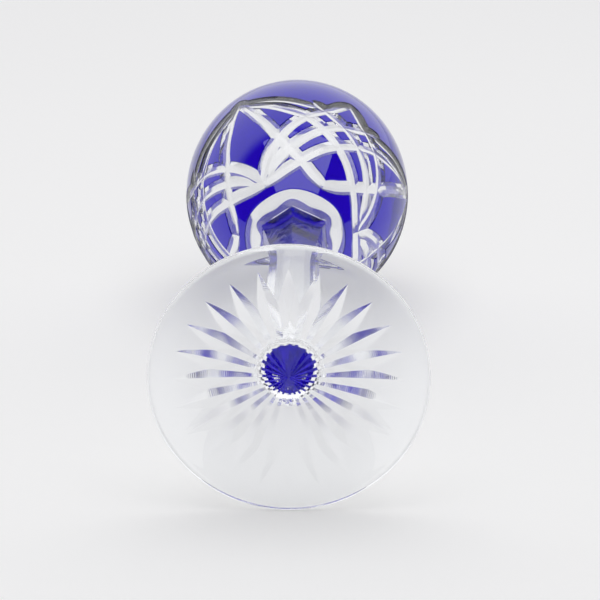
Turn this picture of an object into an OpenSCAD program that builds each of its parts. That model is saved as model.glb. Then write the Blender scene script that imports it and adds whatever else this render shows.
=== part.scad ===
// Stemmed drinking glass of crystal: a bowl cased in cobalt blue and cut back
// to the clear glass, on a six-sided cut stem and a star-cut foot.
// Millimetres, +Z up the axis, origin in the middle of the foot's resting face.
// Turns are in degrees round the axis, 0 along -Y and rising towards +X.

/* [Foot] */
// Diameter of the foot
foot_d = 75; // [60:1:90]
// Thickness of the foot at its edge
foot_edge_t = 2.4; // [1.8:0.1:4]
// Height of the foot's top where the stem stands on it
foot_rise = 8.6; // [7:0.1:11]
// Rise of the hollow underside in the middle
foot_kick = 1.2; // [0.8:0.1:2.5]
// Width of the flat ring that the foot rests on
rest_w = 1.6; // [1:0.1:3]
// Radius of the sweep of the foot's top
foot_sweep = 250; // [150:10:400]

/* [Star] */
// Number of rays cut into the underside
star_rays = 24; // [16:2:32]
// Distance from the axis to the tips of the rays
star_reach = 31; // [26:0.5:34]
// Distance from the axis to the deepest place of a ray
star_centre = 13; // [10:0.5:16]
// Depth of a ray at its deepest place
star_depth = 1.35; // [0.8:0.05:1.6]
// Half of the angle between the two faces of a ray
star_half_angle = 69; // [60:1:75]

/* [Stem] */
// Diameter of the stem's round base on the foot
stem_base_d = 19.8; // [17:0.1:22]
// Radius of the hollow between the stem and its base
stem_base_fillet = 5; // [3:0.5:7]
// Diameter of the round stem before its flats are cut
stem_blank_d = 13.6; // [13.4:0.1:16]
// Width across the flats where the stem is thinnest
stem_flats = 11; // [9:0.1:11.4]
// Width across the flats where the stem meets the bowl
stem_top_flats = 19.1; // [17:0.1:20]
// Number of flats
stem_sides = 6; // [6:1:8]
// Height at which the flats start to spread towards the bowl
stem_spread_z = 79; // [60:1:90]
// Height at which the flats start to run out towards the foot
stem_runout_z = 24; // [20:1:40]
// Radius of the wheel that runs the flats out
stem_runout_r = 25; // [15:1:30]
// Turn of the middle of one flat
stem_turn = 25.5; // [0:0.5:60]

/* [Bowl] */
// Largest diameter of the bowl
bowl_d = 69.8; // [60:0.2:80]
// Height of the largest diameter
bowl_belly_z = 165; // [155:1:172]
// Height of the joint between stem and bowl
bowl_z = 117; // [110:1:122]
// Diameter of the cased bowl at that joint
bowl_base_d = 21.8; // [20:0.2:24]
// Height of the rim, which is the height of the glass
rim_z = 188; // [180:1:200]
// Thickness of the clear crystal in the side of the bowl
crystal_t = 1.7; // [1:0.1:2.5]
// Thickness of the crystal under the bottom of the bowl's hollow
floor_t = 7; // [5:0.5:10]
// Thickness of the blue casing
casing_t = 0.4; // [0.3:0.1:1.2]

/* [Cutting] */
// Number of times that the pattern repeats round the bowl
repeats = 3; // [3:1:3]
// Turn of the first lattice
lattice_turn = 28.7; // [0:0.1:60]
// Height of the tips of the rim band's edge over the kites, from the joint
kite_tip_h = 45; // [41:0.5:49]
// Height of the tips of that edge over the lattices, from the joint
lattice_tip_h = 42; // [39:0.5:45]
// Height of the lowest places of that edge, from the joint
rim_band_h = 34.5; // [33:0.5:38]
// Turn of those places, counted from the middle of a lattice
rim_band_turn = 17.5; // [14:0.5:22]
// Height of the base band's edge under the lattices, from the joint
lattice_foot_h = 5.4; // [4.5:0.1:6]
// Height of the base band's edge under the kites, from the joint
kite_foot_h = 6.2; // [5:0.1:7.5]
// Radius of the hollow edge of the base band under the lattices
lattice_smile_r = 15; // [13:0.5:20]
// Radius of the hollow edge of the base band under the kites
kite_smile_r = 30; // [24:1:36]
// Distance from the axis to the top of the scallops round the stem
scallop_reach = 15.4; // [14:0.1:16.5]
// Radius of one scallop
scallop_r = 9; // [8:0.5:11]

/* [Hidden] */
$fn = 180;
// Sides of a whole circle of which only a short, flat arc is used
sweep_fn = 1440;
hollow_fn = 720;
over = 1;
clear_glass = "aliceblue";
blue_glass = "mediumblue";

foot_r = foot_d / 2;
edge_r = foot_edge_t / 2;
kick_x = foot_r - edge_r - rest_w;
kick_r = (pow(kick_x, 2) + pow(foot_kick, 2)) / (2 * foot_kick);

// The foot's top is one arc, from its edge to where the stem stands.
sweep_w = foot_r - edge_r - stem_base_d / 2;
sweep_h = foot_rise - foot_edge_t;
sweep_chord = norm([sweep_w, sweep_h]);
sweep_lift = sqrt(pow(foot_sweep, 2) - pow(sweep_chord / 2, 2)) / sweep_chord;
sweep_centre = [
    foot_r - edge_r - sweep_w / 2 + sweep_lift * sweep_h,
    foot_edge_t + sweep_h / 2 + sweep_lift * sweep_w
];

// A bulging side is one arc of a circle about a centre inside the axis.
bowl_r = bowl_d / 2;
base_r = bowl_base_d / 2;
belly_h = bowl_belly_z - bowl_z;
side_r = (pow(bowl_r - base_r, 2) + pow(belly_h, 2)) / (2 * (bowl_r - base_r));
side_x = bowl_r - side_r;

// The hollow's round bottom runs smoothly into its side, at one height.
hollow_z = bowl_z + floor_t;
inner_r = side_r - casing_t - crystal_t;
hollow_h = bowl_belly_z - hollow_z;
hollow_r = (pow(inner_r, 2) - pow(side_x, 2) - pow(hollow_h, 2))
    / (2 * (inner_r - hollow_h));
hollow_side_z = bowl_belly_z - inner_r * (hollow_h - hollow_r) / (inner_r - hollow_r);

// The stem spreads to meet the crystal of the bowl.
spread_h = bowl_z - stem_spread_z;
spread_d = (stem_top_flats - stem_flats) / 2;
spread_r = (pow(spread_h, 2) + pow(spread_d, 2)) / (2 * spread_d);
blank_top_r = stem_top_flats / 2 / cos(180 / stem_sides);
blank_d = blank_top_r - stem_blank_d / 2;
blank_r = (pow(spread_h, 2) + pow(blank_d, 2)) / (2 * blank_d);

sector = 360 / repeats;
kite_turn = lattice_turn - sector / 2;
base_band_h = 12;
reach = bowl_r + 10;

// Corners of the blue glass left between the cuts: turn, from the middle of a
// kite or of a lattice, and height from the joint. Side panes have a mirror
// image.
kite = [[0, 40], [13.5, 20.5], [0, 11.5], [-13.5, 20.5]];
middle_panes = [
    [[-14.8, 11.1], [0, 16], [14.8, 11.1], [0, 6.2]],
    [[-5.5, 24], [0, 26.7], [5.5, 24], [0, 21.6]],
    [[-7, 35.5], [-7, 31], [0, 29.3], [7, 31], [7, 35.5], [0, 40.5]]
];
side_panes = [
    [[-39.5, 24.3], [-33.2, 28.8], [-49, 36.5]],
    [[-33.7, 19.4], [-31.7, 18], [-20.2, 24], [-24.7, 26]],
    [[-25.2, 15.2], [-22.7, 14.3], [-7.5, 19.2], [-12.7, 21.2]],
    [[-18, 29.5], [-13.2, 27], [-8.7, 29.5], [-13.7, 32]]
];

// Radius of the cased bowl at a height.
function bowl_at(z) = side_x + sqrt(pow(side_r, 2) - pow(z - bowl_belly_z, 2));

// Distance from the axis of the cased bowl at a height from the joint.
function bowl_above(h) = bowl_at(bowl_z + h);

// Middle turn of an outline of corners.
function middle(corners) =
    (max([for (c = corners) c[0]]) + min([for (c = corners) c[0]])) / 2;

// The same outline, or its mirror image where side is -1.
function turned(corners, side) = [for (c = corners) [side * c[0], c[1]]];

// Half of an outline that bulges like the bowl, set in from the casing.
module bulge(inset, low, high) {
    intersection() {
        translate([side_x, bowl_belly_z])
            circle(r = side_r - inset, $fn = sweep_fn);
        translate([0, low])
            square([reach, high - low]);
    }
}

// Stands a flat outline up and pushes it out through the bowl at a turn.
module outwards(turn) {
    rotate([0, 0, turn])
        rotate([90, 0, 0])
            linear_extrude(height = reach)
                children();
}

// The casing between two heights, before it is cut.
module casing(low, high) {
    rotate_extrude()
        difference() {
            bulge(0, low, high);
            bulge(casing_t, low - over, high + over);
        }
}

// What is inside an outline of corners, from the axis outwards.
module pane(corners, turn) {
    mid = middle(corners);
    outwards(turn + mid)
        polygon([for (c = corners) [bowl_above(c[1]) * sin(c[0] - mid), bowl_z + c[1]]]);
}

// Height of the hollow underside at a distance from the axis.
function underside(r) = foot_kick - kick_r + sqrt(pow(kick_r, 2) - pow(r, 2));

// Height of the bottom of a ray. Past its tip this is under the underside.
function ray_bottom(r) =
    underside(r) + star_depth * (1 - pow((r - star_centre) / (star_reach - star_centre), 2));

// The star as one solid: its top falls from the bottom of each ray to a line
// midway to the next, and rays only part where that line leaves the glass.
module star() {
    steps = 9;
    star_low = -star_reach / 4;
    half_turn = 180 / star_rays;
    sides = 2 * star_rays;
    drop = sin(half_turn) / tan(star_half_angle);
    radii = [for (i = [1 : steps]) (star_reach + over) * i / steps];
    crown = [
        for (r = radii, k = [0 : sides - 1])
            [
                r * sin(k * half_turn), -r * cos(k * half_turn),
                ray_bottom(r) - (k % 2) * r * drop
            ]
    ];
    outer = radii[steps - 1];
    base = [
        for (k = [0 : sides - 1])
            [outer * sin(k * half_turn), -outer * cos(k * half_turn), star_low]
    ];
    points = concat(crown, base, [[0, 0, ray_bottom(0)], [0, 0, star_low]]);
    top_middle = len(points) - 2;
    low_middle = len(points) - 1;
    walls = [
        for (i = [0 : steps - 1], k = [0 : sides - 1])
            let (a = i * sides + k, b = i * sides + (k + 1) % sides)
            each [[a, b, a + sides], [b, b + sides, a + sides]]
    ];
    caps = [
        for (k = [0 : sides - 1])
            let (b = (k + 1) % sides, low = steps * sides)
            each [[top_middle, b, k], [low_middle, low + k, low + b]]
    ];
    polyhedron(points = points, faces = concat(walls, caps));
}

module foot() {
    color(clear_glass)
        difference() {
            rotate_extrude()
                difference() {
                    union() {
                        square([foot_r - edge_r, foot_rise]);
                        translate([foot_r - edge_r, edge_r])
                            circle(r = edge_r);
                    }
                    translate(sweep_centre)
                        circle(r = foot_sweep, $fn = sweep_fn);
                    translate([0, foot_kick - kick_r])
                        circle(r = kick_r, $fn = sweep_fn);
                }
            star();
        }
}

// What is ground away beyond one flat of the stem, seen from the side.
module beyond_flat() {
    flat_r = stem_flats / 2;
    intersection() {
        translate([flat_r, stem_runout_z - stem_runout_r])
            square([reach, bowl_z + over - stem_runout_z + stem_runout_r]);
        union() {
            translate([flat_r + spread_r, stem_spread_z])
                circle(r = spread_r, $fn = sweep_fn);
            translate([flat_r, stem_runout_z])
                square([reach, stem_spread_z - stem_runout_z]);
            translate([flat_r + stem_runout_r, stem_runout_z])
                circle(r = stem_runout_r);
        }
    }
}

// Half of the round stem before its flats are cut.
module stem_outline() {
    blank = stem_blank_d / 2;
    base = stem_base_d / 2;
    fillet_x = blank + stem_base_fillet;
    fillet_h = sqrt(pow(stem_base_fillet, 2) - pow(fillet_x - base, 2));
    difference() {
        union() {
            translate([0, foot_rise])
                square([blank, bowl_z - foot_rise]);
            translate([0, foot_rise])
                square([base, fillet_h]);
            translate([0, stem_spread_z])
                square([blank_top_r, spread_h]);
        }
        translate([fillet_x, foot_rise + fillet_h])
            circle(r = stem_base_fillet);
        translate([blank + blank_r, stem_spread_z])
            circle(r = blank_r, $fn = sweep_fn);
    }
}

module stem() {
    color(clear_glass)
        difference() {
            rotate_extrude()
                stem_outline();
            for (i = [0 : stem_sides - 1])
                rotate([0, 0, stem_turn + i * 360 / stem_sides - 90])
                    rotate([90, 0, 0])
                        linear_extrude(height = 2 * reach, center = true)
                            beyond_flat();
        }
}

module bowl() {
    color(clear_glass)
        rotate_extrude()
            difference() {
                bulge(casing_t, bowl_z + casing_t, rim_z);
                bulge(casing_t + crystal_t, hollow_side_z, rim_z + over);
                translate([0, hollow_z + hollow_r])
                    circle(r = hollow_r, $fn = hollow_fn);
            }
}

// The casing that is left between the bowl and the stem, which was joined to it.
module blue_seat() {
    color(blue_glass)
        translate([0, 0, bowl_z])
            rotate([0, 0, stem_turn + 180 / stem_sides - 90])
                cylinder(h = casing_t, r = blank_top_r, $fn = stem_sides);
}

// The hollow edge that the long cuts leave on the base band.
module smile(turn, h, r) {
    outwards(turn)
        translate([0, bowl_z + h + r])
            circle(r = r);
}

module blue_base_band() {
    color(blue_glass)
        difference() {
            casing(bowl_z, bowl_z + base_band_h);
            for (i = [0 : repeats - 1]) {
                smile(lattice_turn + i * sector, lattice_foot_h, lattice_smile_r);
                smile(kite_turn + i * sector, kite_foot_h, kite_smile_r);
            }
            for (i = [0 : stem_sides - 1])
                rotate([0, 0, stem_turn + i * 360 / stem_sides])
                    translate([0, scallop_r - scallop_reach, bowl_z - over])
                        cylinder(h = rim_z, r = scallop_r);
        }
}

module blue_kites() {
    color(blue_glass)
        intersection() {
            casing(bowl_z, rim_z);
            for (i = [0 : repeats - 1])
                pane(kite, kite_turn + i * sector);
        }
}

module blue_panes() {
    color(blue_glass)
        intersection() {
            casing(bowl_z, rim_z);
            for (i = [0 : repeats - 1]) {
                for (corners = middle_panes)
                    pane(corners, lattice_turn + i * sector);
                for (corners = side_panes, side = [-1, 1])
                    pane(turned(corners, side), lattice_turn + i * sector);
            }
        }
}

// A peak cut up into the lower edge of the rim band. Its slopes go on down
// past those of the next peak, so that nothing is left under their crossing.
module peak(turn, top, half_turn) {
    low = rim_band_h - 2 * over;
    half_w = bowl_above(rim_band_h) * sin(half_turn);
    low_w = half_w * (top - low) / (top - rim_band_h);
    outwards(turn)
        translate([0, bowl_z])
            polygon([[0, top], [low_w, low], [-low_w, low]]);
}

module blue_rim_band() {
    color(blue_glass)
        difference() {
            casing(bowl_z + rim_band_h - over, rim_z);
            for (i = [0 : repeats - 1]) {
                peak(lattice_turn + i * sector, lattice_tip_h, rim_band_turn);
                peak(kite_turn + i * sector, kite_tip_h, sector / 2 - rim_band_turn);
            }
        }
}

foot();
stem();
bowl();
blue_seat();
blue_base_band();
blue_kites();
blue_panes();
blue_rim_band();
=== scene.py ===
"""The looks of a stemmed glass: cobalt-cased crystal, cut back to clear in a lattice.

The glass's axis is +Z, from the foot to the rim. It lies on its side, so the
floor is on the +Y side. Sizes are in millimetres and turned to metres where a
mesh is made. Turns are in degrees round the axis, 0 along -Y, rising towards +X.
"""

import math

import bmesh
import bpy
from mathutils import Matrix, Vector


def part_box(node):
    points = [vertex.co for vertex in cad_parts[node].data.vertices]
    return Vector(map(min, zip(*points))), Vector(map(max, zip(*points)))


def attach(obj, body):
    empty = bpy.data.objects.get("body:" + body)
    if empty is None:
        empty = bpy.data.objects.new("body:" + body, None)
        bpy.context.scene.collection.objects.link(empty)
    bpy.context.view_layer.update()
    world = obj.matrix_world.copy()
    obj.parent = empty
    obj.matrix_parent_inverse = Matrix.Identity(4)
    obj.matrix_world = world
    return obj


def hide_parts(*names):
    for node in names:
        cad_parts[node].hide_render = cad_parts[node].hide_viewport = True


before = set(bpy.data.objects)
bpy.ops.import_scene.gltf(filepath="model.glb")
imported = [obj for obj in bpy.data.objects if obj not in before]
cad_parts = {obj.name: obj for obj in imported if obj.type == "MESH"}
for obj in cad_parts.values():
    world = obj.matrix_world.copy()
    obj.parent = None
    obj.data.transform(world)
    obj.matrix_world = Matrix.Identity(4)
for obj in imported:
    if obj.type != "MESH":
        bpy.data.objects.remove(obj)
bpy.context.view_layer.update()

MM = 0.001


def top_of(node):
    """The highest corner of a CAD node, in millimetres."""
    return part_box(node)[1] / MM


# ---------------------------------------------------------------- sizes

FOOT_R = top_of("foot").x
FOOT_Z = top_of("foot").z
JOINT_Z = top_of("stem").z
RIM_Z = top_of("blue_rim_band").z
BOWL_R = top_of("blue_rim_band").x

FOOT_EDGE_R = 1.2
FOOT_REST_W = 1.6
FOOT_KICK = 1.2
FOOT_SWEEP_R = 250
# The foot's hollow underside is one arc, from the axis to the ground ring.
KICK_X = FOOT_R - FOOT_EDGE_R - FOOT_REST_W
KICK_R = (KICK_X**2 + FOOT_KICK**2) / (2 * FOOT_KICK)

STEM_BASE_R = 9.9
STEM_BASE_FILLET = 5
STEM_R = 6.8
STEM_STRAIGHT_Z = 16
STEM_RING_H = 3
STEM_APOTHEM = 5.5
STEM_SPREAD_Z = 79
STEM_RUNOUT_Z = 24
STEM_RUNOUT_R = 25
STEM_TURN = 25.5
STEM_SIDES = 6
# Pieces of the one glass stop this short of each other, so that no two faces
# share a place.
JOINT_GAP = 0.01
# Edges that turn more than this many degrees are left crisp.
CRISP_ANGLE = 12
# A face whose normal rises more than this lies level.
LEVEL = 0.99

BELLY_Z = 165
BASE_R = 10.9
CASING_T = 0.2
WALL_T = 2.1
FLOOR_T = 7
RIM_ROUND = 0.8
RIM_LOW = RIM_Z - RIM_ROUND
# Crystal and casing part this far from their shared corner under the rim.
RIM_CLEAR = 0.02
# The bowl's flat underside reaches this far past its side.
BASE_LIP = 0.3
SEAT_Z = JOINT_Z + CASING_T
# The casing is made from this height up. The collar's cut takes its lowest edge away.
CASING_FOOT_Z = 119.2

STAR_RAYS = 24
STAR_REACH = 31
STAR_DEEPEST_R = 13
STAR_DEPTH = 1.35
STAR_HALF_ANGLE = 69

REPEATS = 3
SECTOR = 360 / REPEATS
LATTICE_TURN = 28.7
# A cut is a hollow of this radius, sunk this deep below the casing's surface. It
# runs out over a length at each end, and its wheel stands proud of the surface.
GROOVE_DEPTH = 0.95
GROOVE_R = 4.1
GROOVE_TAPER = 7
GROOVE_PROUD = 1.5
GROOVE_END_CLEAR = 0.03
GROOVE_STEP = 1.2

# The bowl's side is one arc about a centre inside the axis.
SIDE_RUN = BOWL_R - BASE_R
SIDE_R = (SIDE_RUN**2 + (BELLY_Z - JOINT_Z) ** 2) / (2 * SIDE_RUN)
SIDE_X = BOWL_R - SIDE_R

# The stem's flats spread to this half width where they meet the bowl.
FLAT_TOP = 9.55

# A hollow collar runs out from the stem's hexagon into the bowl. Seen from the
# stem, its edge is six shallow scallops about centres this far off the axis.
COLLAR_WHEEL_R = 9.5
COLLAR_WHEEL_X = 17.22
COLLAR_WHEEL_H = -5.65
SCALLOP_OFF_AXIS = 6.4
# The hexagon turns into the scallops from this radius on, over this distance.
COLLAR_BLEND_R = 10
COLLAR_BLEND_W = 4

# What tells the casing's pieces apart: how near the rim or the joint they reach,
# and how near the middle between two lattices and how tall they are.
RIM_BAND_REACH = 5
BASE_BAND_REACH = 4
KITE_OFF_MIDDLE = 4
KITE_HEIGHT = 15

# One half of the cuts of a lattice: the share of the full depth, and the middle
# line, as turn from the lattice's middle and height. Each has a mirror image on
# the other side of the lattice.
CUTS = [
    (
        "kite_side",
        1.0,
        [(-61, 165.5), (-51.5, 150), (-47.5, 145), (-43, 140), (-38, 135),
         (-29.2, 130), (-20.9, 127), (-11.7, 124.6), (6.5, 122.4)],
    ),
    (
        "long_sweep",
        1.0,
        [(-60.5, 161.3), (-56.7, 159), (-42.7, 152.5), (-31.7, 148), (-19.2, 143.8),
         (-6.4, 138.6), (11.3, 132.3), (23.7, 128.3), (36.7, 125.7), (48.7, 124.3),
         (67, 123.3)],
    ),
    (
        "middle_sweep",
        1.0,
        [(-21, 153.8), (-16.7, 152), (-6.7, 147.5), (4.3, 143.8), (13.3, 140.3), (22.8, 136.3),
         (33.3, 132), (43.3, 128.5), (55, 124.5)],
    ),
    (
        "short_sweep",
        1.0,
        [(-1.8, 160.6), (4.3, 156), (9.7, 151.5), (19.3, 147), (29.3, 142), (38.7, 136.7),
         (47.3, 131.8), (55.7, 126.8), (61.7, 123.5)],
    ),
    (
        "rim_leaf",
        0.6,
        [(-61.5, 162.3), (-59, 161), (-50, 158), (-40, 155.4), (-30, 152.8), (-22, 150.8),
         (-14.5, 149)],
    ),
]


# ---------------------------------------------------------------- materials


def linear(hex_colour):
    """The linear colour of an sRGB hex value."""
    parts = [int(hex_colour[i : i + 2], 16) / 255 for i in (0, 2, 4)]
    return [p / 12.92 if p <= 0.04045 else ((p + 0.055) / 1.055) ** 2.4 for p in parts] + [1]


def add(tree, kind, inputs=None, links=None, **settings):
    """Adds a node with its settings, its inputs' values and its incoming links."""
    node = tree.nodes.new(kind)
    for key, value in settings.items():
        setattr(node, key, value)
    for key, value in (inputs or {}).items():
        node.inputs[key].default_value = value
    for key, source in (links or {}).items():
        tree.links.new(source, node.inputs[key])
    return node


def new_material(name):
    """An empty material, and its node tree."""
    material = bpy.data.materials.new(name)
    material.use_nodes = True
    material.node_tree.nodes.clear()
    return material, material.node_tree


def lead_crystal():
    """Lead crystal, fire-polished: clear, with faint slow waves from the blowing."""
    material, tree = new_material("lead crystal")
    place = add(tree, "ShaderNodeTexCoord")
    waves = add(
        tree,
        "ShaderNodeTexNoise",
        {"Scale": 60, "Detail": 1, "Roughness": 0.4},
        {"Vector": place.outputs["Object"]},
    )
    bump = add(
        tree,
        "ShaderNodeBump",
        {"Strength": 0.06, "Distance": 0.2 * MM},
        {"Height": waves.outputs["Fac"]},
    )
    glass = add(
        tree,
        "ShaderNodeBsdfPrincipled",
        {
            "Base Color": linear("FDFEFF"),
            "Roughness": 0,
            "IOR": 1.545,
            "Transmission Weight": 1,
        },
        {"Normal": bump.outputs["Normal"]},
    )
    add(tree, "ShaderNodeOutputMaterial", links={"Surface": glass.outputs["BSDF"]})
    return material


def wheel_cut_crystal():
    """Lead crystal, cut with a fine wheel: a little milky, which makes the cuts look white."""
    material, tree = new_material("wheel-cut crystal")
    place = add(tree, "ShaderNodeTexCoord")
    marks = add(
        tree,
        "ShaderNodeTexNoise",
        {"Scale": 900, "Detail": 2, "Roughness": 0.5},
        {"Vector": place.outputs["Object"]},
    )
    bump = add(
        tree,
        "ShaderNodeBump",
        {"Strength": 0.05, "Distance": 0.05 * MM},
        {"Height": marks.outputs["Fac"]},
    )
    glass = add(
        tree,
        "ShaderNodeBsdfPrincipled",
        {
            "Base Color": linear("FDFEFF"),
            "Roughness": 0.08,
            "IOR": 1.545,
            "Transmission Weight": 0.84,
        },
        {"Normal": bump.outputs["Normal"]},
    )
    add(tree, "ShaderNodeOutputMaterial", links={"Surface": glass.outputs["BSDF"]})
    return material


def polished_cut():
    """Lead crystal, cut and polished: clear, with the wheel's fine lines across the rays."""
    material, tree = new_material("polished cut crystal")
    place = add(tree, "ShaderNodeTexCoord")
    # The lines are 0.5 mm apart, coarser than the real ones, so that they show.
    lines = add(
        tree,
        "ShaderNodeTexWave",
        {"Scale": math.pi / (10 * 0.5 * MM), "Distortion": 2, "Detail": 1},
        {"Vector": place.outputs["Object"]},
        wave_type="RINGS",
        rings_direction="Z",
    )
    bump = add(
        tree,
        "ShaderNodeBump",
        {"Strength": 0.12, "Distance": 0.05 * MM},
        {"Height": lines.outputs["Fac"]},
    )
    glass = add(
        tree,
        "ShaderNodeBsdfPrincipled",
        {
            "Base Color": linear("FDFEFF"),
            "Roughness": 0.05,
            "IOR": 1.545,
            "Transmission Weight": 1,
        },
        {"Normal": bump.outputs["Normal"]},
    )
    add(tree, "ShaderNodeOutputMaterial", links={"Surface": glass.outputs["BSDF"]})
    return material


def hot_joint():
    """The inside of a hot joint, where crystal runs on into crystal unseen."""
    material, tree = new_material("hot-joined crystal")
    glass = add(
        tree,
        "ShaderNodeBsdfPrincipled",
        {"Base Color": linear("FFFFFF"), "Roughness": 0, "IOR": 1, "Transmission Weight": 1},
    )
    add(tree, "ShaderNodeOutputMaterial", links={"Surface": glass.outputs["BSDF"]})
    return material


def cobalt_glass(name, ior):
    """Cobalt glass: it takes the red and green from light, more where it is thicker."""
    material, tree = new_material(name)
    place = add(tree, "ShaderNodeTexCoord")
    thickness = add(
        tree,
        "ShaderNodeTexNoise",
        {"Scale": 45, "Detail": 1},
        {"Vector": place.outputs["Object"]},
    )
    tint = add(tree, "ShaderNodeValToRGB", links={"Fac": thickness.outputs["Fac"]})
    tint.color_ramp.elements[0].color = linear("1E02B8")
    tint.color_ramp.elements[1].color = linear("2603C4")
    glass = add(
        tree,
        "ShaderNodeBsdfPrincipled",
        {"Roughness": 0, "IOR": ior, "Transmission Weight": 1},
        {"Base Color": tint.outputs["Color"]},
    )
    add(tree, "ShaderNodeOutputMaterial", links={"Surface": glass.outputs["BSDF"]})
    return material


# ---------------------------------------------------------------- making pieces


def on_turn(turn, radius, z):
    """The place at a turn round the axis, a distance from it and a height."""
    a = math.radians(turn)
    return Vector((radius * math.sin(a), -radius * math.cos(a), z)) * MM


def arc(x, z, radius, start, end, steps):
    """Points of an arc about (x, z), from one angle to another, in degrees from +x to +z."""
    angles = [math.radians(start + (end - start) * i / steps) for i in range(steps + 1)]
    return [(x + radius * math.cos(a), z + radius * math.sin(a)) for a in angles]


def angle_at(x, z, centre_x, centre_z):
    """The angle of a point of an arc about its centre, in degrees from +x to +z."""
    return math.degrees(math.atan2(z - centre_z, x - centre_x))


def new_piece(name, bm, materials):
    """An object made from a bmesh, which is used up."""
    mesh = bpy.data.meshes.new(name)
    bm.to_mesh(mesh)
    bm.free()
    for material in materials:
        mesh.materials.append(material)
    piece = bpy.data.objects.new(name, mesh)
    bpy.context.scene.collection.objects.link(piece)
    return piece


def lathe(name, outline, steps, materials, ring=False):
    """A solid turned from half an outline that ends on the axis, or from a ring's section."""
    bm = bmesh.new()
    verts = [bm.verts.new((r * MM, 0, z * MM)) for r, z in outline]
    following = verts[1:] + verts[:1] if ring else verts[1:]
    edges = [bm.edges.new(pair) for pair in zip(verts, following)]
    bmesh.ops.spin(
        bm, geom=verts + edges, cent=(0, 0, 0), axis=(0, 0, 1), angle=2 * math.pi,
        steps=steps, use_merge=True,
    )
    bmesh.ops.remove_doubles(bm, verts=bm.verts, dist=0.0002 * MM)
    bmesh.ops.recalc_face_normals(bm, faces=bm.faces)
    return new_piece(name, bm, materials)


def bar(name, outline, half_length, turn, materials):
    """A solid bar whose end is an outline seen from the side, turned about the axis."""
    bm = bmesh.new()
    face = bm.faces.new([bm.verts.new((-half_length * MM, -x * MM, z * MM)) for x, z in outline])
    made = bmesh.ops.extrude_face_region(bm, geom=[face])["geom"]
    moved = [g for g in made if isinstance(g, bmesh.types.BMVert)]
    bmesh.ops.translate(bm, verts=moved, vec=(2 * half_length * MM, 0, 0))
    bmesh.ops.rotate(
        bm, verts=bm.verts, cent=(0, 0, 0), matrix=Matrix.Rotation(math.radians(turn), 3, "Z")
    )
    bmesh.ops.recalc_face_normals(bm, faces=bm.faces)
    return new_piece(name, bm, materials)


def bake(piece):
    """Makes a piece's modifiers part of its mesh."""
    graph = bpy.context.evaluated_depsgraph_get()
    mesh = bpy.data.meshes.new_from_object(piece.evaluated_get(graph))
    piece.modifiers.clear()
    piece.data = mesh


def cut(piece, cutters):
    """Cuts the cutters away from a piece. The cut faces take the cutters' material."""
    for cutter in cutters:
        boolean = piece.modifiers.new("cut", "BOOLEAN")
        boolean.operation = "DIFFERENCE"
        boolean.solver = "MANIFOLD"
        boolean.material_mode = "TRANSFER"
        boolean.object = cutter
    bake(piece)
    for cutter in cutters:
        bpy.data.objects.remove(cutter)


def finish_faces(piece):
    """Smooth faces, with the sharp edges left crisp."""
    for face in piece.data.polygons:
        face.use_smooth = True
    piece.data.set_sharp_from_angle(angle=math.radians(CRISP_ANGLE))


def side_outline(inset, low, high, steps):
    """The bowl's side from one height to another, set in from the casing's surface."""
    radius = SIDE_R - inset
    start, end = (math.degrees(math.asin((z - BELLY_Z) / radius)) for z in (low, high))
    return arc(SIDE_X, BELLY_Z, radius, start, end, steps)


def on_bowl(turn, z):
    """A point of the bowl's surface, and the direction straight out of it."""
    tilt = math.asin((z - BELLY_Z) / SIDE_R)
    radius = SIDE_X + SIDE_R * math.cos(tilt)
    a = math.radians(turn)
    out = Vector(
        (math.cos(tilt) * math.sin(a), -math.cos(tilt) * math.cos(a), math.sin(tilt))
    )
    return on_turn(turn, radius, z), out


def side_radius(inset, z):
    """The bowl's radius at a height, set in from the casing's surface."""
    return SIDE_X + math.sqrt((SIDE_R - inset) ** 2 - (z - BELLY_Z) ** 2)


def smooth_line(corners, step):
    """Points along a smooth line through corners of turn and height, a step apart."""
    ends = [
        tuple(2 * a - b for a, b in zip(corners[0], corners[1])),
        tuple(2 * a - b for a, b in zip(corners[-1], corners[-2])),
    ]
    knots = [Vector(c) for c in [ends[0], *corners, ends[1]]]
    line = []
    for before, start, end, after in zip(knots, knots[1:], knots[2:], knots[3:]):
        length = (on_bowl(*end)[0] - on_bowl(*start)[0]).length / MM
        count = max(1, round(length / step))
        for i in range(count):
            t = i / count
            line.append(
                0.5
                * (
                    2 * start
                    + (end - before) * t
                    + (2 * before - 5 * start + 4 * end - after) * t**2
                    + (3 * start - before - 3 * end + after) * t**3
                )
            )
    return line + [knots[-2]]


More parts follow.
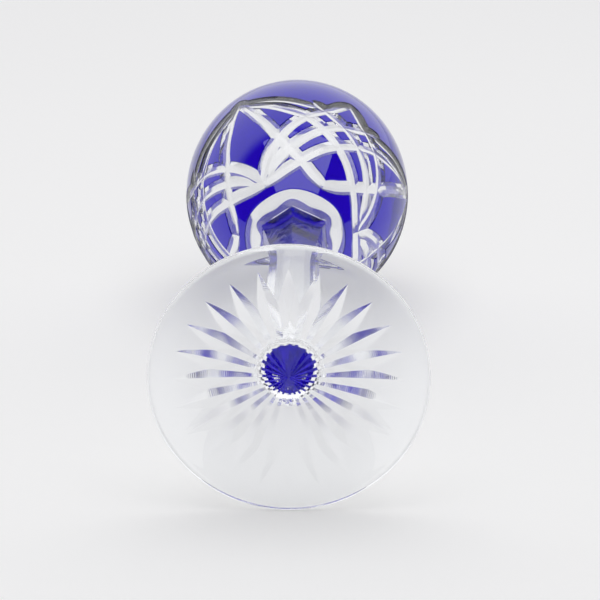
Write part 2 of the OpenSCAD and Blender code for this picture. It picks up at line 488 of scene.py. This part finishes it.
def groove(name, line, deepest, material):
    """A round-bottomed wheel cut along a line on the bowl, shallower towards its ends."""
    bowl = [on_bowl(*place) for place in line]
    lengths = [0]
    for (here, _), (there, _) in zip(bowl, bowl[1:]):
        lengths.append(lengths[-1] + (there - here).length / MM)
    bm = bmesh.new()
    face, last = None, None
    for i, (point, out) in enumerate(bowl):
        ahead = bowl[min(i + 1, len(bowl) - 1)][0] - bowl[max(i - 1, 0)][0]
        across = ahead.cross(out).normalized()
        near_end = min(lengths[i], lengths[-1] - lengths[i], GROOVE_TAPER) / GROOVE_TAPER
        depth = deepest * (1 - (1 - near_end) ** 2) - GROOVE_END_CLEAR
        widest = math.degrees(math.acos((GROOVE_R - depth - GROOVE_PROUD) / GROOVE_R))
        section = [
            point + (across * x + out * (z + GROOVE_R - depth)) * MM
            for x, z in arc(0, 0, GROOVE_R, -90 - widest, -90 + widest, steps=8)
        ]
        if face is None:
            face = bm.faces.new([bm.verts.new(p) for p in section])
        else:
            made = bmesh.ops.extrude_face_region(bm, geom=[face])["geom"]
            if i > 1:
                bmesh.ops.delete(bm, geom=[face], context="FACES_ONLY")
            face = next(g for g in made if isinstance(g, bmesh.types.BMFace))
            for vert in face.verts:
                nearest = min(range(len(last)), key=lambda k: (last[k] - vert.co).length)
                vert.co = section[nearest]
        last = section
    bmesh.ops.recalc_face_normals(bm, faces=bm.faces)
    return new_piece(name, bm, [material])


def lattice_grooves(material):
    """All the cuts of the lattices, as cutters."""
    cutters = []
    for repeat in range(REPEATS):
        middle = LATTICE_TURN + repeat * SECTOR
        for side in (-1, 1):
            for name, share, corners in CUTS:
                line = smooth_line([(middle + side * u, z) for u, z in corners], GROOVE_STEP)
                cutters.append(groove(name, line, share * GROOVE_DEPTH, material))
    return cutters


def extrude_rim(bm, rim):
    """Extrudes the edges of a rim where they are: the new vertices and the new rim."""
    made = bmesh.ops.extrude_edge_only(bm, edges=rim)["geom"]
    verts = [g for g in made if isinstance(g, bmesh.types.BMVert)]
    return verts, [g for g in made if isinstance(g, bmesh.types.BMEdge) and g.is_boundary]


def round_sheet(outer, rings, sides):
    """A flat round sheet in even rings, and the edges of its rim."""
    bm = bmesh.new()
    bmesh.ops.create_circle(
        bm, cap_ends=True, cap_tris=True, segments=sides, radius=outer / rings * MM
    )
    rim = [e for e in bm.edges if e.is_boundary]
    for i in range(2, rings + 1):
        verts, rim = extrude_rim(bm, rim)
        bmesh.ops.scale(bm, verts=verts, vec=(i / (i - 1), i / (i - 1), 1))
    return bm, rim


def close_below(bm, rim, bottom):
    """Draws a sheet's rim down to a height and caps it there, which makes a solid."""
    verts, rim = extrude_rim(bm, rim)
    for vert in verts:
        vert.co.z = bottom * MM
    bmesh.ops.contextual_create(bm, geom=rim)


def collar_height(radius, off_flat):
    """The collar's height at a distance from the axis, so many degrees off a flat's middle."""
    a = math.radians(off_flat)
    by_flat = radius * math.cos(a)
    by_scallop = SCALLOP_OFF_AXIS + math.hypot(
        radius * math.cos(a) - SCALLOP_OFF_AXIS, radius * math.sin(a)
    )
    share = min(1, max(0, (radius - COLLAR_BLEND_R) / COLLAR_BLEND_W))
    share = share * share * (3 - 2 * share)
    run = by_flat + share * (by_scallop - by_flat) - COLLAR_WHEEL_X
    rise = math.sqrt(max(0, COLLAR_WHEEL_R**2 - run**2))
    return JOINT_Z + COLLAR_WHEEL_H + rise


def collar_cutter(material):
    """What is ground away under the bowl to make the hollow collar round the stem."""
    bm, rim = round_sheet(outer=20, rings=50, sides=144)
    for vert in bm.verts:
        turn = math.degrees(math.atan2(vert.co.y, vert.co.x))
        off_flat = (turn + 180 / STEM_SIDES) % (360 / STEM_SIDES) - 180 / STEM_SIDES
        vert.co.z = collar_height(vert.co.xy.length / MM, off_flat) * MM
    close_below(bm, rim, bottom=JOINT_Z - 15)
    bmesh.ops.rotate(
        bm, verts=bm.verts, cent=(0, 0, 0),
        matrix=Matrix.Rotation(math.radians(STEM_TURN - 90), 3, "Z"),
    )
    bmesh.ops.recalc_face_normals(bm, faces=bm.faces)
    return new_piece("collar_cutter", bm, [material])


# ---------------------------------------------------------------- the crystal pieces

CRYSTAL = lead_crystal()
CUT_CRYSTAL = wheel_cut_crystal()
POLISHED_CUT = polished_cut()
JOINT = hot_joint()
COBALT = cobalt_glass("cobalt cased glass", 1.62)
# Inside, the casing runs on into the crystal, so light goes straight through.
COBALT_JOINT = cobalt_glass("cobalt fused to crystal", 1)


def mark_joints(piece, heights, slot):
    """Gives the faces that lie in a joint's plane the joint's material."""
    for face in piece.data.polygons:
        level = any(abs(face.center.z / MM - z) < 2 * JOINT_GAP for z in heights)
        if level and abs(face.normal.z) > LEVEL:
            face.material_index = slot


def star_cutter():
    """The star as one solid: each ray's bottom rises to a tip, and ridges part the rays."""
    half_turn = math.pi / STAR_RAYS
    drop = math.sin(half_turn) / math.tan(math.radians(STAR_HALF_ANGLE))

    def bottom(r):
        under = FOOT_KICK - KICK_R + math.sqrt(KICK_R**2 - r**2)
        fall = (r - STAR_DEEPEST_R) / (STAR_REACH - STAR_DEEPEST_R)
        return under + STAR_DEPTH * (1 - fall**2)

    bm, rim = round_sheet(outer=STAR_REACH + 1, rings=40, sides=2 * STAR_RAYS)
    for vert in bm.verts:
        r = vert.co.xy.length / MM
        ray = round(math.atan2(vert.co.x, -vert.co.y) / half_turn)
        vert.co.z = (bottom(r) - (ray % 2) * r * drop) * MM
    close_below(bm, rim, bottom=-8)
    bmesh.ops.recalc_face_normals(bm, faces=bm.faces)
    return new_piece("star_cutter", bm, [POLISHED_CUT])


def make_foot():
    """The foot: hollow underside, ground ring, rounded edge and a top that sweeps up."""
    edge_x = FOOT_R - FOOT_EDGE_R
    run, rise = edge_x - STEM_BASE_R, FOOT_Z - 2 * FOOT_EDGE_R
    chord = math.hypot(run, rise)
    lift = math.sqrt(FOOT_SWEEP_R**2 - chord**2 / 4) / chord
    sweep_x = edge_x - run / 2 + lift * rise
    sweep_z = 2 * FOOT_EDGE_R + rise / 2 + lift * run
    kick_z = FOOT_KICK - KICK_R
    outline = arc(0, kick_z, KICK_R, 90, angle_at(KICK_X, 0, 0, kick_z), steps=60)
    outline += arc(edge_x, FOOT_EDGE_R, FOOT_EDGE_R, -90, 90, steps=20)
    outline += arc(
        sweep_x, sweep_z, FOOT_SWEEP_R,
        angle_at(edge_x, 2 * FOOT_EDGE_R, sweep_x, sweep_z),
        angle_at(STEM_BASE_R, FOOT_Z, sweep_x, sweep_z), steps=40,
    )[1:]
    outline.append((0, FOOT_Z))
    foot = lathe("foot_crystal", outline, steps=240, materials=[CRYSTAL])
    cut(foot, [star_cutter()])
    foot.data.materials.append(JOINT)
    mark_joints(foot, [FOOT_Z], len(foot.data.materials) - 1)
    finish_faces(foot)
    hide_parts("foot")
    return foot


def make_stem():
    """The stem: a round blank, ground to flats that run out above the foot."""
    fillet_x = STEM_R + STEM_BASE_FILLET
    fillet_h = math.sqrt(STEM_BASE_FILLET**2 - (fillet_x - STEM_BASE_R) ** 2)
    spread_h = JOINT_Z - STEM_SPREAD_Z
    blank_top = FLAT_TOP / math.cos(math.pi / STEM_SIDES)
    blank_run = blank_top - STEM_R
    blank_r = (spread_h**2 + blank_run**2) / (2 * blank_run)
    low = angle_at(STEM_BASE_R, 0, fillet_x, fillet_h)
    outline = [(0, FOOT_Z + JOINT_GAP), (STEM_BASE_R, FOOT_Z + JOINT_GAP)]
    outline += arc(fillet_x, FOOT_Z + fillet_h, STEM_BASE_FILLET, low, -180, steps=16)[1:]
    outline += [(STEM_R, z) for z in range(STEM_STRAIGHT_Z, STEM_SPREAD_Z, STEM_RING_H)]
    outline += arc(
        STEM_R + blank_r, STEM_SPREAD_Z, blank_r, 180,
        angle_at(blank_top, JOINT_Z, STEM_R + blank_r, STEM_SPREAD_Z), steps=24,
    )[:-1]
    outline += [(blank_top, JOINT_Z - JOINT_GAP), (0, JOINT_Z - JOINT_GAP)]
    stem = lathe("stem_crystal", outline, steps=144, materials=[CRYSTAL])

    flat_run = FLAT_TOP - STEM_APOTHEM
    flat_r = (spread_h**2 + flat_run**2) / (2 * flat_run)
    runout_x = STEM_APOTHEM + STEM_RUNOUT_R
    flat = arc(runout_x, STEM_RUNOUT_Z, STEM_RUNOUT_R, -150, -180, steps=24)
    straight = range(STEM_RUNOUT_Z + STEM_RING_H, STEM_SPREAD_Z, STEM_RING_H)
    flat += [(STEM_APOTHEM, z) for z in straight]
    top = angle_at(FLAT_TOP, JOINT_Z, STEM_APOTHEM + flat_r, STEM_SPREAD_Z)
    # The cutter runs on a little past the joint, and out past the stem.
    over_top = 0.4
    flat += arc(STEM_APOTHEM + flat_r, STEM_SPREAD_Z, flat_r, 180, top - over_top, steps=26)
    outside = 30
    flat += [(outside, flat[-1][1]), (outside, flat[0][1])]
    turns = [STEM_TURN + side * 360 / STEM_SIDES for side in range(STEM_SIDES)]
    bar_half = 20
    cut(stem, [bar("stem_flat", flat, bar_half, turn, [POLISHED_CUT]) for turn in turns])
    stem.data.materials.append(JOINT)
    mark_joints(stem, [FOOT_Z, JOINT_Z], len(stem.data.materials) - 1)
    finish_faces(stem)
    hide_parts("stem")
    return stem


def rim_outline():
    """The rim's rounded top, from the outside to the inside, over the whole wall."""
    outside, inside = side_radius(0, RIM_LOW), side_radius(WALL_T, RIM_LOW)
    half_w = (outside - inside) / 2
    steps = 24
    turns = [math.pi * i / steps for i in range(steps + 1)]
    return [
        (inside + half_w * (1 + math.cos(a)), RIM_LOW + RIM_ROUND * math.sin(a)) for a in turns
    ]


def make_bowl():
    """The bowl's crystal, under the casing, with its hollow, its collar and its cuts."""
    inner_r = SIDE_R - WALL_T
    hollow_z = JOINT_Z + FLOOR_T
    hollow_h = BELLY_Z - hollow_z
    hollow_r = (inner_r**2 - SIDE_X**2 - hollow_h**2) / (2 * (inner_r - hollow_h))
    hollow_mid = hollow_z + hollow_r
    meet = angle_at(0, hollow_mid, SIDE_X, BELLY_Z)
    meet_z = BELLY_Z + inner_r * math.sin(math.radians(meet))
    shoulder_r = BASE_R + BASE_LIP
    shoulder_z = BELLY_Z - math.sqrt(SIDE_R**2 - (shoulder_r - SIDE_X) ** 2)
    inset = CASING_T + JOINT_GAP
    bare_top = CASING_FOOT_Z - JOINT_GAP
    bare = side_outline(0, max(shoulder_z, SEAT_Z), bare_top, steps=6)
    cased = side_outline(inset, bare_top, RIM_LOW, steps=96)
    rim = [place for place in rim_outline() if place[0] < cased[-1][0] - RIM_CLEAR]
    inner = side_outline(WALL_T, meet_z, RIM_LOW, steps=60)
    outline = [(0, SEAT_Z), (shoulder_r - JOINT_GAP, SEAT_Z)]
    outline += bare + cased + rim + inner[-2::-1]
    outline += arc(0, hollow_mid, hollow_r, meet, -90, steps=50)[1:-1] + [(0, hollow_z)]
    bowl = lathe("bowl_crystal", outline, steps=240, materials=[CRYSTAL, JOINT])
    # The crystal's side and its step under the rim are fused to the casing.
    near = 0.1
    for face in bowl.data.polygons:
        middle = face.center / MM
        if CASING_FOOT_Z - 2 * JOINT_GAP < middle.z < RIM_Z - near:
            if middle.xy.length > side_radius(inset + near, middle.z):
                face.material_index = 1
    mark_joints(bowl, [SEAT_Z], 1)
    cut(bowl, [collar_cutter(CUT_CRYSTAL)] + lattice_grooves(CUT_CRYSTAL))
    finish_faces(bowl)
    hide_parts("bowl")
    return bowl


def make_seat():
    """The casing that is left between the bowl and the stem."""
    corner_r = FLAT_TOP / math.cos(math.pi / STEM_SIDES)
    bm = bmesh.new()
    bmesh.ops.create_cone(
        bm, cap_ends=True, segments=STEM_SIDES, radius1=corner_r * MM, radius2=corner_r * MM,
        depth=(CASING_T - 2 * JOINT_GAP) * MM,
    )
    bmesh.ops.rotate(
        bm, verts=bm.verts, cent=(0, 0, 0),
        matrix=Matrix.Rotation(math.radians(STEM_TURN + 180 / STEM_SIDES), 3, "Z"),
    )
    bmesh.ops.translate(bm, verts=bm.verts, vec=(0, 0, (JOINT_Z + CASING_T / 2) * MM))
    seat = new_piece("blue_seat_glass", bm, [COBALT_JOINT, COBALT])
    for face in seat.data.polygons:
        if abs(face.normal.z) < 0.5:
            face.material_index = 1
    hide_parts("blue_seat")
    return seat


def make_casing():
    """The blue casing round the whole bowl, cut through by the same wheels."""
    outer = side_outline(0, CASING_FOOT_Z, RIM_LOW, steps=96)
    inner = side_outline(CASING_T, CASING_FOOT_Z, RIM_LOW, steps=96)
    rim = [place for place in rim_outline()[1:] if place[0] > inner[-1][0] + RIM_CLEAR]
    outline = outer + rim + inner[::-1]
    casing = lathe("casing", outline, steps=240, materials=[COBALT, COBALT_JOINT], ring=True)
    # The casing's inside, its step under the rim and its lowest edge are fused to the
    # crystal.
    fused_top = RIM_LOW + 0.5
    lowest_edge = CASING_FOOT_Z + 0.001
    for face in casing.data.polygons:
        middle = face.center / MM
        inside = middle.xy.length < side_radius(CASING_T / 2, min(middle.z, RIM_LOW))
        if inside and middle.z < fused_top or middle.z < lowest_edge:
            face.material_index = 1
    cut(casing, [collar_cutter(COBALT)] + lattice_grooves(COBALT))
    return casing


def islands_of(bm):
    """The pieces of a mesh that don't touch each other, as lists of faces."""
    left = set(bm.faces)
    islands = []
    while left:
        stack, island = [left.pop()], []
        while stack:
            face = stack.pop()
            island.append(face)
            for other in {f for edge in face.edges for f in edge.link_faces} & left:
                left.remove(other)
                stack.append(other)
        islands.append(island)
    return islands


def casing_node(island):
    """The CAD node that a piece of the casing stands for, told by where the piece is."""
    verts = {v for f in island for v in f.verts}
    low = min(v.co.z for v in verts) / MM
    high = max(v.co.z for v in verts) / MM
    middle = sum((v.co for v in verts), Vector()) / len(verts)
    turn = math.degrees(math.atan2(middle.x, -middle.y))
    off_middle = abs((turn - LATTICE_TURN + SECTOR) % SECTOR - SECTOR / 2)
    if high > RIM_Z - RIM_BAND_REACH:
        return "blue_rim_band"
    if low < JOINT_Z + BASE_BAND_REACH:
        return "blue_base_band"
    if off_middle < KITE_OFF_MIDDLE and high - low > KITE_HEIGHT:
        return "blue_kites"
    return "blue_panes"


def split_casing(casing):
    """The cuts leave the casing in separate panes, which are sorted into four pieces."""
    nodes = ("blue_base_band", "blue_kites", "blue_panes", "blue_rim_band")
    groups = {node: set() for node in nodes}
    bm = bmesh.new()
    bm.from_mesh(casing.data)
    for island in islands_of(bm):
        groups[casing_node(island)].update(f.index for f in island)
    bm.free()
    pieces = []
    for node, keep in groups.items():
        bm = bmesh.new()
        bm.from_mesh(casing.data)
        others = [f for f in bm.faces if f.index not in keep]
        bmesh.ops.delete(bm, geom=others, context="FACES")
        piece = new_piece(node + "_glass", bm, [COBALT, COBALT_JOINT])
        finish_faces(piece)
        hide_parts(node)
        pieces.append(piece)
    bpy.data.objects.remove(casing)
    return pieces


crystal_pieces = [make_foot(), make_stem(), make_bowl()]
casing_pieces = [make_seat()] + split_casing(make_casing())
for piece in crystal_pieces + casing_pieces:
    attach(piece, "root")


# ---------------------------------------------------------------- floor, light and camera

LENS_MM = 181.9
SENSOR_MM = 36
DISTANCE = 800
LOOK_DOWN = math.radians(19.4)
LOOK_ACROSS = math.radians(0.72)
# How far the middle of the foot is from the middle of the view, as slopes.
FOOT_ACROSS = -0.0037104
FOOT_BELOW = 0.0265172

# The floor and the light are sized and placed in metres.
FLOOR_HALF = 4
FLOOR_AHEAD = 1.5
FLOOR_CLEAR = 0.05 * MM
SOFTBOX_W = 1.6
SOFTBOX_H = 1.2
SOFTBOX_WATTS = 11
SOFTBOX_PLACE = Vector((0.05, -1.3, 0))
SOFTBOX_AIM = Vector((0, 0, 0.1))
# The side that the foot faces, along the axis and a little up.
OPEN_SIDE = (0, -0.356, -0.934)


def make_camera():
    """The camera looks along the glass from the foot, and a little down."""
    forward = Vector(
        (
            -math.sin(LOOK_ACROSS) * math.cos(LOOK_DOWN),
            math.sin(LOOK_DOWN),
            math.cos(LOOK_ACROSS) * math.cos(LOOK_DOWN),
        )
    )
    right = Vector((math.cos(LOOK_ACROSS), 0, math.sin(LOOK_ACROSS)))
    up = right.cross(forward)
    to_foot = (forward + right * FOOT_ACROSS - up * FOOT_BELOW).normalized()
    data = bpy.data.cameras.new("camera")
    data.lens = LENS_MM
    data.sensor_width = SENSOR_MM
    camera = bpy.data.objects.new("camera", data)
    bpy.context.scene.collection.objects.link(camera)
    camera.matrix_world = Matrix.Translation(-to_foot * DISTANCE * MM) @ Matrix(
        (right, up, -forward)
    ).transposed().to_4x4()
    bpy.context.scene.camera = camera


def pale_floor():
    """Matt pale board, lit a little from under, seen only from the side with the glass."""
    material, tree = new_material("matt pale board")
    place = add(tree, "ShaderNodeTexCoord")
    grain = add(
        tree,
        "ShaderNodeTexNoise",
        {"Scale": 3, "Detail": 2},
        {"Vector": place.outputs["Object"]},
    )
    shade = add(tree, "ShaderNodeValToRGB", links={"Fac": grain.outputs["Fac"]})
    shade.color_ramp.elements[0].color = linear("C9C9C7")
    shade.color_ramp.elements[1].color = linear("CCCCCA")
    board = add(
        tree,
        "ShaderNodeBsdfPrincipled",
        {
            "Roughness": 0.9,
            "Specular IOR Level": 0.1,
            "Emission Color": linear("FFFFFF"),
            "Emission Strength": 0.4,
        },
        {"Base Color": shade.outputs["Color"]},
    )
    clear = add(tree, "ShaderNodeBsdfTransparent")
    facing = add(tree, "ShaderNodeNewGeometry")
    mix = add(tree, "ShaderNodeMixShader")
    tree.links.new(facing.outputs["Backfacing"], mix.inputs[0])
    tree.links.new(board.outputs["BSDF"], mix.inputs[1])
    tree.links.new(clear.outputs["BSDF"], mix.inputs[2])
    add(tree, "ShaderNodeOutputMaterial", links={"Surface": mix.outputs["Shader"]})
    return material


def make_floor():
    """The floor touches the foot's edge and the bowl's belly."""
    belly = Vector((0, BOWL_R, BELLY_Z)) * MM
    edge = Vector((0, FOOT_R, FOOT_EDGE_R)) * MM
    along = (belly - edge).normalized()
    up = Vector((1, 0, 0)).cross(along)
    bm = bmesh.new()
    bmesh.ops.create_grid(bm, x_segments=1, y_segments=1, size=FLOOR_HALF)
    bmesh.ops.transform(
        bm,
        matrix=Matrix.Translation(edge + along * FLOOR_AHEAD - up * FLOOR_CLEAR)
        @ Matrix((Vector((1, 0, 0)), along, up)).transposed().to_4x4(),
        verts=bm.verts,
    )
    floor = new_piece("floor", bm, [pale_floor()])


def make_light():
    """A wide softbox above the glass."""
    data = bpy.data.lights.new("softbox", "AREA")
    data.shape = "RECTANGLE"
    data.size = SOFTBOX_W
    data.size_y = SOFTBOX_H
    data.energy = SOFTBOX_WATTS
    light = bpy.data.objects.new("softbox", data)
    bpy.context.scene.collection.objects.link(light)
    light.location = SOFTBOX_PLACE
    light.rotation_euler = (SOFTBOX_AIM - SOFTBOX_PLACE).to_track_quat("-Z", "Y").to_euler()


def make_world():
    """A bright tent all round, open to a dusky room on the side that the foot faces."""
    world = bpy.data.worlds.new("studio tent")
    bpy.context.scene.world = world
    world.use_nodes = True
    tree = world.node_tree
    tree.nodes.clear()
    place = add(tree, "ShaderNodeTexCoord")
    towards = add(
        tree,
        "ShaderNodeVectorMath",
        {1: OPEN_SIDE},
        {0: place.outputs["Generated"]},
        operation="DOT_PRODUCT",
    )
    open_side = add(
        tree,
        "ShaderNodeMapRange",
        {"From Min": -0.12, "From Max": 0.08},
        {"Value": towards.outputs["Value"]},
        interpolation_type="SMOOTHSTEP",
    )
    shade = add(tree, "ShaderNodeValToRGB", links={"Fac": open_side.outputs["Result"]})
    shade.color_ramp.elements[0].color = linear("FCFCFD")
    shade.color_ramp.elements[1].color = linear("38364E")
    light = add(
        tree, "ShaderNodeBackground", {"Strength": 1}, {"Color": shade.outputs["Color"]}
    )
    add(tree, "ShaderNodeOutputWorld", links={"Surface": light.outputs["Background"]})


make_camera()
make_floor()
make_light()
make_world()

scene = bpy.context.scene
scene.view_settings.view_transform = "Standard"
scene.cycles.max_bounces = 32
scene.cycles.transmission_bounces = 32
scene.cycles.glossy_bounces = 16
scene.cycles.transparent_max_bounces = 16
